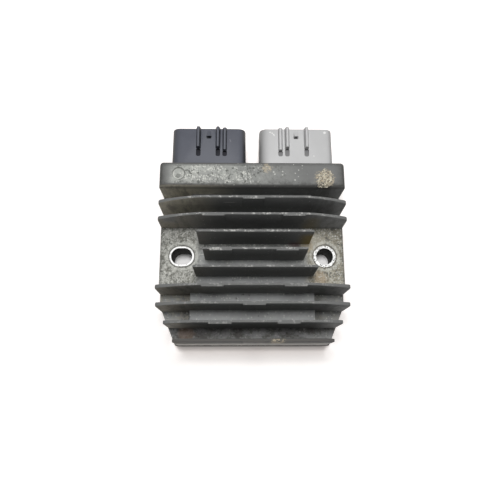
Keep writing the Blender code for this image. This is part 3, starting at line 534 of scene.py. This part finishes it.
def ears(paint, at, colour):
    """Blotched oxide round the bolts: pale on the left ear, yellowed on the right one."""
    blotches = paint.patches(0.40, 0.58, 3.6, 6, 6.0, 0.78)
    left = paint.mix(blotches, LEFT_EAR_DARK, LEFT_EAR_LIGHT)
    right = paint.mix(blotches, RIGHT_EAR_DARK, RIGHT_EAR_LIGHT)
    oxide = paint.mix(paint.level(paint.x, -1.0, 1.0), left, right)
    colour = paint.coat(colour, oxide, at.ear)
    grime = paint.most(paint.grains(1.6, 0.66, 0.60, 28),
                       paint.times(paint.grains(0.9, 0.40, 0.55, 39), 0.85))
    soiled = paint.patches(0.58, 0.42, 4.0, 53, 6.0, 0.75)
    colour = paint.coat(colour, PIT_AND_SHADE, at.ear, grime, paint.blend(soiled, 0.35, 0.85))
    crumbs = paint.most(paint.grains(1.4, 0.50, 0.50, 22), paint.grains(0.9, 0.34, 0.50, 41))
    colour = paint.coat(colour, CRUMB_AND_HIGHLIGHT, at.ear, crumbs, paint.blend(soiled, 0.70, 0.30))
    colour = paint.coat(colour, EAR_PALE, at.ear, paint.spot(*PALE_PATCH, 3.0, 54, 3.0), 0.45)
    colour = paint.coat(colour, EAR_BROWN, at.ear, paint.spot(*BROWN_PATCH, 4.0, 55, 3.0), 0.50)
    north = paint.times(at.ear, paint.level(paint.y, -6.0, 4.0))
    colour = paint.coat(colour, GRIME_AND_SHADE, north, 0.42, paint.blend(soiled, 0.60, 1.0))
    rim = paint.times(paint.level(at.aside, 45.5, 48.4), paint.level(at.up, 0.0, 1.0))
    return paint.coat(colour, GRIME_AND_SHADE, rim, paint.blend(at.fine, 0.3, 0.7))


def valley_dirt(paint, at, colour):
    """Painted shade under each south side, a painted highlight along the next fin's foot, and what
    lies between.
    """
    floor = paint.times(at.floor, at.between_fins)
    # Painted shade on the floor under each fin's south side
    under_fin_shade = paint.between(at.valley, 6.0, FIN_PITCH, 0.9)
    colour = paint.coat(colour, GRIME_AND_SHADE, floor, under_fin_shade, 0.20)
    # Painted highlight along the next fin's north foot, broken up by noise
    foot = paint.times(floor, paint.between(at.valley, 1.3, 1.9, 0.25))
    crumbs = paint.patches(0.48, 0.62, 0.9, 23, 5.0, 0.75)
    colour = paint.coat(colour, CRUMB_AND_HIGHLIGHT, foot, paint.blend(crumbs, 0.25, 0.8))
    upper = paint.times(floor, paint.level(paint.y, -20.0, -16.0),
                        paint.patches(0.44, 0.58, 2.4, 47, 6.0, 0.8))
    colour = paint.coat(colour, OXIDE, upper, 0.50)
    lower = paint.times(floor, paint.level(paint.y, -22.0, -24.0))
    bloom = paint.times(paint.level(at.mottle, 0.48, 0.60), paint.level(at.drift, 0.40, 0.60))
    colour = paint.coat(colour, OXIDE, lower, bloom, 0.35)
    pits = paint.times(paint.grains(2.6, 0.62, 0.60, 60), paint.level(at.drift, 0.54, 0.42))
    colour = paint.coat(colour, GRIME_AND_SHADE, lower, pits, 0.60)

    # The ends of the valleys: dark beside the slab, dusty further out and most of all on the left
    ends = paint.times(at.ledge, paint.level(paint.y, LAST_LEDGE_Y - 0.5, LAST_LEDGE_Y + 0.5))
    west = paint.level(paint.x, 0.0, -10.0)
    shade = paint.most(paint.level(at.aside, 40.0, 34.5), paint.blend(west, 0.45, 0.0))
    colour = paint.coat(colour, GRIME_AND_SHADE, ends, shade, 0.60)
    dusty = paint.level(at.mottle, 0.42, 0.58)
    colour = paint.coat(colour, WASHED_OLIVE, ends, dusty, paint.blend(west, 0.20, 0.45))
    colour = paint.coat(colour, CRUMB_AND_HIGHLIGHT, at.floor, paint.grains(1.4, 0.42, 0.40, 24), 0.55)

    # Brown dirt, flecks and rust in the last valley
    last = paint.times(at.ledge, paint.level(paint.y, LAST_LEDGE_Y + 0.5, LAST_LEDGE_Y - 0.5))
    smears = paint.patches(0.40, 0.60, 4.0, 25, 7.0, 0.78, stretch=(0.6, 0.8, 1))
    colour = paint.coat(colour, BROWN_DIRT, last, paint.blend(smears, 0.80, 0.25))
    flecks = paint.times(paint.grains(1.9, 0.50, 0.30, 29), paint.patches(0.45, 0.60, 5.0, 48, 4.0))
    colour = paint.coat(colour, CRUMB_AND_HIGHLIGHT, last, flecks, 0.45)
    return paint.coat(colour, RUST, paint.spot(*RUST_PATCH, 2.8, 9, 3.0), last, 0.50)


def crests(paint, at, colour):
    """Fin crests, a little worn, with bare chips that thin out southward; the last one is dirty."""
    colour = paint.coat(colour, CREST_GREY, at.crest, 0.5)
    on_last = paint.level(paint.y, SOUTH_END + 5.0, SOUTH_END + 4.0)
    colour = paint.coat(colour, LAST_CREST, at.crest, on_last, 0.85)
    chip_field = paint.clouds(1.3, 7, 6.0, 0.8, stretch=(0.6, 1, 1))
    inner = paint.level(at.aside, 46.0, 30.0)
    share = paint.blend(paint.level(paint.y, -30.0, -10.0), 0.45, 0.90)
    worn = paint.level(chip_field, 0.57, 0.66)
    knocks = paint.times(paint.grains(1.3, 0.65, 0.60, 49), paint.patches(0.44, 0.54, 7.0, 50, 4.0))
    chips = paint.times(at.crest, inner, share, paint.most(worn, paint.times(knocks, 0.65)),
                        paint.minus(1.0, on_last))
    return paint.coat(colour, BARE_METAL, chips), chips


def bolt_seats(paint, at, colour):
    """A bright worn ring round each hole with a dark line outside it, and painted shade on the hole
    wall.
    """
    beyond = paint.minus(paint.size(paint.minus(paint.x, SLOT_X)), SLOT_HALF_TRAVEL)
    slot_away = paint.length(paint.join(paint.most(beyond, 0.0), paint.minus(paint.y, HOLE_Y), 0.0))
    round_away = paint.distance(RIGHT_HOLE_X, HOLE_Y)
    rings = []
    for away, rim, ragged, dulled in ((slot_away, SLOT_RING_RADIUS, 0.35, 0.6),
                                      (round_away, ROUND_RING_RADIUS, 1.3, 0.95)):
        halo = paint.times(at.roof, paint.between(away, rim + 0.9, rim + 2.2, 0.4),
                           paint.patches(0.36, 0.56, 1.6, 51, 5.0, 0.75))
        colour = paint.coat(colour, CRUMB_AND_HIGHLIGHT, halo, 0.55)
        near = paint.times(at.roof, paint.level(away, rim + 1.2, rim + 0.9))
        outline = paint.times(near, paint.between(away, rim + 0.15, rim + 0.65, 0.2))
        colour = paint.coat(colour, GRIME_AND_SHADE, outline, 0.75)
        wander = paint.times(paint.minus(paint.clouds(1.1, 8, 4.0, 0.75), 0.5), ragged * 2)
        ring = paint.times(near, paint.level(paint.plus(away, wander), rim + 0.15, rim - 0.15))
        tarnish = paint.most(paint.patches(0.54, 0.62, 1.2, 26, 5.0, 0.75),
                             paint.grains(1.0, 0.40, 0.45, 52))
        metal = paint.mix(paint.times(tarnish, dulled), RING_METAL, SKIN_DARK)
        colour = paint.coat(colour, metal, ring)
        rings.append(ring)
    # Painted shade on the hole walls
    away = paint.math("MINIMUM", slot_away, round_away)
    hole_wall_shade = paint.times(paint.level(away, HOLE_RADIUS + 0.4, HOLE_RADIUS + 0.1),
                       paint.level(at.up, 0.6, 0.2))
    return paint.coat(colour, GRIME_AND_SHADE, hole_wall_shade), paint.most(*rings)


def stains(paint, at, colour):
    """Yellow and red stains by the right ear; beige corrosion there, on header and low end."""
    yellowed = paint.times(paint.level(paint.distance(*YELLOW_PLACE), 9.0, 2.0),
                           paint.level(paint.z, 36.0, 27.0), at.south)
    colour = paint.coat(colour, YELLOW, yellowed, 0.95)
    damp = paint.times(paint.level(paint.distance(*DAMP_PLACE), 5.0, 1.0),
                       paint.level(paint.z, 22.0, 15.5))
    colour = paint.coat(colour, DAMP_RED, damp, 0.60)
    crumbled = paint.most(paint.grains(1.3, 0.68, 0.85, 14), paint.grains(0.9, 0.50, 0.80, 43))
    foot = paint.times(paint.spot(*EAR_FOOT_PATCH, 2.0, 16), at.roof)
    crust = paint.spot(CRUST_X, CRUST_Y, CRUST_RADIUS, 3.4, 13, 3.0)
    beige = paint.most(paint.times(paint.spot(*HEADER_PATCH, 3.4, 11), at.header_top, 0.7),
                       paint.times(paint.spot(*LOW_END_PATCH, 3.4, 12),
                                   paint.level(paint.z, 20.0, 24.0), 0.7),
                       paint.times(crust, at.header_top), foot)
    beige = paint.most(paint.times(beige, crumbled), paint.times(foot, 0.55))
    return paint.coat(colour, BEIGE, beige, 0.90), beige


def cast_aluminium():
    paint = Paint("cast_aluminium")
    at = casting_masks(paint)
    colour = bare_skin(paint, at)
    colour = south_sides(paint, at, colour)
    colour, oxide = header_oxide(paint, at, colour)
    colour = ears(paint, at, colour)
    colour = valley_dirt(paint, at, colour)
    colour, chips = crests(paint, at, colour)
    colour, rings = bolt_seats(paint, at, colour)
    colour, beige = stains(paint, at, colour)
    bare = paint.most(rings, chips)
    roughness = paint.blend(bare, paint.blend(at.fine, 0.76, 0.96), 0.50)
    metallic = paint.blend(bare, 0.10, 0.20)
    grain = paint.plus(paint.times(at.fine, 0.6), paint.times(paint.clouds(0.55, 15, 2.0), 0.4))
    crust = paint.plus(paint.times(oxide, 0.6), paint.times(beige, 1.2))
    paint.relief(paint.plus(grain, crust), 0.12)
    return paint.finish(colour, roughness, metallic)


# The other materials

def moulded(name, dark, light, scuff, roughness, shoulder_shade, recess_shade, muted, nib_x, marks):
    """Moulded plastic with painted shade on shoulders, top ends and in recesses, a spark texture
    and scuffs.
    """
    paint = Paint(name)
    broad = paint.clouds(9.0, 1, 3.0)
    colour = paint.mix(broad, dark, light)
    scuffs = paint.patches(0.66, 0.74, 2.4, 2, 6.0, 0.8, stretch=(1, 0.4, 1))
    colour = paint.coat(colour, scuff, scuffs, 0.6)
    for x, y, radius in marks:
        chafed = paint.times(paint.spot(x, y, radius, 0.3, 4, 0.7),
                             paint.level(paint.face_z, 0.3, 0.6))
        colour = paint.coat(colour, scuff, chafed, 0.8)

    # Painted shade on the rounded sides, and on the outer ends of the top
    turned = paint.times(paint.between(paint.face_z, -0.2, 0.80, 0.15),
                         paint.level(paint.z, 12.0, 17.0),
                         paint.level(paint.size(paint.face_y), 0.5, 0.2))
    colour = paint.coat(colour, SHELL_SHADE, turned, shoulder_shade)
    from_nib = paint.size(paint.minus(paint.x, nib_x))
    west = paint.times(paint.level(paint.x, nib_x - 13.5, nib_x - 19.4), 0.38)
    east = paint.times(paint.level(paint.x, nib_x + 16.8, nib_x + 19.4), 0.30)
    colour = paint.coat(colour, SHELL_SHADE, paint.most(west, east))

    # Painted shade in the recesses at the ribs' feet, beside the latch nib and in the relief under
    # it
    below_top = paint.level(paint.z, SHELL_TOP + 0.15, SHELL_TOP + 0.05)
    sunk_shade = paint.times(paint.level(paint.z, SHELL_TOP - 0.5, SHELL_TOP - 0.9),
                       paint.level(paint.z, 22.0, 23.0), paint.level(paint.y, 46.5, 45.9),
                       paint.level(from_nib, 13.5, 13.0))
    relief = paint.times(paint.level(from_nib, 1.30, 1.10),
                         paint.between(paint.y, 51.05, 52.10, 0.12), below_top)
    nib_side_shade = paint.times(paint.between(from_nib, 0.85, 1.20, 0.12),
                         paint.between(paint.y, 52.0, 54.3, 0.3), below_top)
    colour = paint.coat(colour, NIB_SHADE, nib_side_shade, 0.35)
    # Painted shade in the hollows; where muted, they turn metallic and near black, losing their
    # reflection too
    hollow_shade = paint.most(paint.times(sunk_shade, recess_shade), paint.times(relief, 0.95))
    colour = paint.coat(colour, HOLLOW_SHADE, hollow_shade)
    paint.relief(paint.clouds(0.35, 3, 2.0), 0.03)
    uneven = paint.blend(broad, roughness - 0.06, roughness + 0.08)
    return paint.finish(colour, uneven, paint.times(hollow_shade, muted))


def tinned_brass():
    paint = Paint("tinned_brass", metallic=1.0)
    streaks = paint.clouds(1.4, 1, 5.0, 0.7, stretch=(1, 0.12, 1))
    colour = paint.mix(streaks, BRASS_DULL, BRASS_BRIGHT)
    colour = paint.coat(colour, BRASS_WORN, paint.patches(0.62, 0.70, 2.2, 2, 4.0), 0.5)
    paint.relief(streaks, 0.01)
    return paint.finish(colour, paint.blend(streaks, 0.28, 0.42))


def plain_part(name, dark, light, size, roughness, metallic):
    """A hidden part's finish: a mottled colour with a fine relief."""
    paint = Paint(name, metallic=metallic)
    spots = paint.clouds(size, 1, 4.0, 0.65)
    paint.relief(spots, 0.02)
    uneven = paint.blend(spots, roughness - 0.05, roughness + 0.1)
    return paint.finish(paint.mix(spots, dark, light), uneven)


def potting_resin():
    paint = Paint("potting_resin")
    flow = paint.clouds(12.0, 1, 2.0, 0.5, bend=0.6)
    dust = paint.patches(0.55, 0.75, 1.3, 2, 6.0, 0.75)
    colour = paint.mix(flow, RESIN_DARK, RESIN_LIGHT)
    colour = paint.coat(colour, RESIN_DUST, dust, 0.35)
    paint.relief(flow, 0.5)
    return paint.finish(colour, paint.blend(dust, 0.18, 0.5))


def corrosion_crust():
    paint = Paint("corrosion_crust", roughness=0.9)
    crumbs = paint.clouds(1.1, 1, 5.0, 0.8)
    paint.relief(crumbs, 0.15)
    return paint.finish(paint.mix(paint.level(crumbs, 0.40, 0.62), CRUST_SHADE, CRUST_LIGHT))


# The pieces that the scene adds

def add_piece(name, shape, material):
    mesh = bpy.data.meshes.new(name)
    shape.to_mesh(mesh)
    shape.free()
    mesh.materials.append(material)
    obj = bpy.data.objects.new(name, mesh)
    bpy.context.scene.collection.objects.link(obj)
    return obj


def crust():
    """Crumbs of white corrosion on the header's top, spread evenly over a lobed patch."""
    spread = random.Random(7)
    shape = bmesh.new()
    for _ in range(CRUMB_COUNT):
        angle = spread.uniform(0, math.tau)
        lobe = 1.0 + 0.22 * math.sin(2 * angle - 0.6) + 0.12 * math.sin(5 * angle + 1.0)
        away = CRUST_RADIUS * lobe * math.sqrt(spread.random())
        centre = Vector((CRUST_X + away * math.cos(angle), CRUST_Y + away * math.sin(angle),
                         HEADER_TOP))
        size = spread.uniform(*CRUMB_SIZES)
        made = bmesh.ops.create_icosphere(shape, subdivisions=2, radius=size)
        for vert in made["verts"]:
            vert.co *= 1.0 + CRUMB_ROUGHNESS * noise.noise(vert.co * 2.2 + centre)
            vert.co.z *= CRUMB_FLATNESS
            vert.co = (vert.co + centre) * MM
    obj = add_piece("corrosion_crust", shape, corrosion_crust())
    obj.data.shade_smooth()
    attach(obj, "root")


def relief_webs():
    """The thin dished web that closes the moulding relief under each latch nib, a sheet that keeps
    the relief dark as shade.
    """
    for name, x, paint in (("stator_relief_web", BLACK_NIB_X, "black_plastic"),
                           ("output_relief_web", GREY_NIB_X, "grey_plastic")):
        shape = bmesh.new()
        bmesh.ops.create_grid(shape, x_segments=12, y_segments=6, size=1.0)
        for vert in shape.verts:
            across, along = vert.co.x, vert.co.y
            sag = WEB_SAG * (1.0 - across ** 2) * (1.0 - along ** 2)
            vert.co = (x + WEB_HALF_WIDTH * across, WEB_Y + WEB_HALF_LENGTH * along, WEB_Z - sag)
        bmesh.ops.solidify(shape, geom=shape.faces[:], thickness=WEB_THICKNESS)
        for vert in shape.verts:
            vert.co *= MM
        obj = add_piece(name, shape, bpy.data.materials[paint])
        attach(obj, "root")


# Shading of the CAD pieces: their facets are flat as imported, so curved runs are smoothed by angle

def smooth_by_angle():
    group = bpy.data.node_groups.new("smooth_by_angle", "GeometryNodeTree")
    for in_out in ("INPUT", "OUTPUT"):
        group.interface.new_socket(name="Geometry", in_out=in_out,
                                   socket_type="NodeSocketGeometry")
    add = group.nodes.new
    enter, leave = add("NodeGroupInput"), add("NodeGroupOutput")
    weld = add("GeometryNodeMergeByDistance")
    weld.inputs["Distance"].default_value = WELD_DISTANCE * MM
    forget = add("GeometryNodeRemoveAttribute")
    forget.inputs["Name"].default_value = "custom_normal"
    faces, edges = add("GeometryNodeSetShadeSmooth"), add("GeometryNodeSetShadeSmooth")
    faces.domain, edges.domain = "FACE", "EDGE"
    angle = add("GeometryNodeInputMeshEdgeAngle")
    gentle = add("FunctionNodeCompare")
    gentle.data_type, gentle.operation = "FLOAT", "LESS_EQUAL"
    gentle.inputs["B"].default_value = math.radians(SMOOTH_DEGREES)
    link = group.links.new
    link(enter.outputs[0], weld.inputs["Geometry"])
    link(weld.outputs["Geometry"], forget.inputs["Geometry"])
    link(forget.outputs["Geometry"], faces.inputs["Geometry"])
    link(faces.outputs["Geometry"], edges.inputs["Geometry"])
    link(angle.outputs["Unsigned Angle"], gentle.inputs["A"])
    link(gentle.outputs["Result"], edges.inputs["Shade Smooth"])
    link(edges.outputs["Geometry"], leave.inputs[0])
    return group


def dress_all():
    """Gives every CAD piece the paint of its material slot, and the smoothing."""
    paints = {name: plain_part(name, *look) for name, look in PLAIN_PARTS.items()}
    paints.update({name: moulded(name, **look) for name, look in SHELLS.items()})
    for make in (cast_aluminium, tinned_brass, potting_resin):
        paints[make.__name__] = make()
    group = smooth_by_angle()
    for part in frame["record"]["subparts"]:
        obj = NODES[part["node"]]
        obj.data.materials.clear()
        obj.data.materials.append(paints[part["material_slot"]])
        obj.modifiers.new("smooth_by_angle", "NODES").node_group = group


# The stage: floor, lights and camera

def reckoner(tree):
    """A function that adds a Math node to the tree and gives its result."""
    def reckon(operation, a, b=0.0):
        node = tree.nodes.new("ShaderNodeMath")
        node.operation = operation
        for socket, value in zip(node.inputs, (a, b)):
            if isinstance(value, bpy.types.NodeSocket):
                tree.links.new(value, socket)
            else:
                socket.default_value = value
        return node.outputs[0]

    return reckon


def white_rays(tree):
    """1 for camera, glossy and transmission rays, 0 for the others."""
    reckon = reckoner(tree)
    path = tree.nodes.new("ShaderNodeLightPath")
    seen = path.outputs["Is Camera Ray"]
    for other in ("Is Glossy Ray", "Is Transmission Ray"):
        seen = reckon("MAXIMUM", seen, path.outputs[other])
    return seen


def floor_shine(tree):
    """Strength of the light that the floor adds, from the distance outside the part's outline; low
    near the part, where it paints a shadow.
    """
    reckon = reckoner(tree)
    where = tree.nodes.new("ShaderNodeTexCoord")
    apart = tree.nodes.new("ShaderNodeSeparateXYZ")
    tree.links.new(where.outputs["Object"], apart.inputs[0])
    x, y = apart.outputs[0], apart.outputs[1]
    narrowing = reckon("MAXIMUM", reckon("SUBTRACT", TAPER_START * MM, y), 0.0)
    wide = reckon("ADD", reckon("ABSOLUTE", x), reckon("MULTIPLY", narrowing, TAPER_SLOPE))
    aside = reckon("SUBTRACT", wide, OUTLINE_HALF_WIDTH * MM)
    south = reckon("SUBTRACT", SOUTH_END * MM, y)
    north = reckon("SUBTRACT", y, GLOW_NORTH * MM)
    outside = reckon("MAXIMUM", reckon("MAXIMUM", aside, south), north)
    reach = FLOOR_GLOW[-1][0]
    ramp = tree.nodes.new("ShaderNodeValToRGB")
    tree.links.new(reckon("DIVIDE", outside, reach * MM), ramp.inputs[0])
    stops = ramp.color_ramp.elements
    while len(stops) < len(FLOOR_GLOW):
        stops.new(1.0)
    for stop, (distance, strength) in zip(stops, FLOOR_GLOW):
        stop.position = distance / reach
        stop.color = (strength, strength, strength, 1.0)
    return reckon("MULTIPLY", white_rays(tree), ramp.outputs["Color"])


def make_floor():
    mesh = bpy.data.meshes.new("floor")
    corners = [(-FLOOR_HALF, -FLOOR_HALF, 0), (FLOOR_HALF, -FLOOR_HALF, 0),
               (FLOOR_HALF, FLOOR_HALF, 0), (-FLOOR_HALF, FLOOR_HALF, 0)]
    mesh.from_pydata(corners, [], [(0, 1, 2, 3)])
    floor = bpy.data.objects.new("floor", mesh)
    bpy.context.scene.collection.objects.link(floor)
    floor.location.z = -FLOOR_DROP * MM
    material = bpy.data.materials.new("floor_white")
    material.use_nodes = True
    tree = material.node_tree
    tree.nodes.clear()
    diffuse = tree.nodes.new("ShaderNodeBsdfDiffuse")
    diffuse.inputs["Color"].default_value = FLOOR_COLOUR
    glow = tree.nodes.new("ShaderNodeEmission")
    glow.inputs["Color"].default_value = GLOW_COLOUR
    tree.links.new(floor_shine(tree), glow.inputs["Strength"])
    both = tree.nodes.new("ShaderNodeAddShader")
    tree.links.new(diffuse.outputs[0], both.inputs[0])
    tree.links.new(glow.outputs[0], both.inputs[1])
    output = tree.nodes.new("ShaderNodeOutputMaterial")
    tree.links.new(both.outputs[0], output.inputs["Surface"])
    mesh.materials.append(material)


def make_world():
    """Soft light all round, and plain white where the camera or a reflection sees it."""
    world = bpy.data.worlds.new("studio")
    bpy.context.scene.world = world
    world.use_nodes = True
    tree = world.node_tree
    tree.nodes.clear()
    soft = tree.nodes.new("ShaderNodeBackground")
    soft.inputs["Strength"].default_value = WORLD_LEVEL
    white = tree.nodes.new("ShaderNodeBackground")
    choose = tree.nodes.new("ShaderNodeMixShader")
    tree.links.new(white_rays(tree), choose.inputs[0])
    tree.links.new(soft.outputs[0], choose.inputs[1])
    tree.links.new(white.outputs[0], choose.inputs[2])
    output = tree.nodes.new("ShaderNodeOutputWorld")
    tree.links.new(choose.outputs[0], output.inputs["Surface"])


def make_lamp(name, place, size, level):
    """A square soft box that faces the part. level is the share of full light it gives there."""
    distance = Vector(place).length
    data = bpy.data.lights.new(name, "AREA")
    data.shape = "SQUARE"
    data.size = size
    data.energy = level * math.pi ** 2 * distance ** 2
    obj = bpy.data.objects.new(name, data)
    obj.location = place
    obj.rotation_euler = (-Vector(place)).to_track_quat("-Z", "Y").to_euler()
    bpy.context.scene.collection.objects.link(obj)


def make_camera():
    data = bpy.data.cameras.new("camera")
    data.lens = CAMERA_LENS
    data.sensor_width = CAMERA_SENSOR
    data.clip_start = CAMERA_NEAR
    camera = bpy.data.objects.new("camera", data)
    camera.location = CAMERA_PLACE
    camera.rotation_euler = [math.radians(angle) for angle in CAMERA_TURN]
    bpy.context.scene.collection.objects.link(camera)
    bpy.context.scene.camera = camera


dress_all()
crust()
relief_webs()
make_floor()
make_world()
for lamp in LAMPS:
    make_lamp(*lamp)
make_camera()
bpy.context.scene.view_settings.view_transform = "Standard"
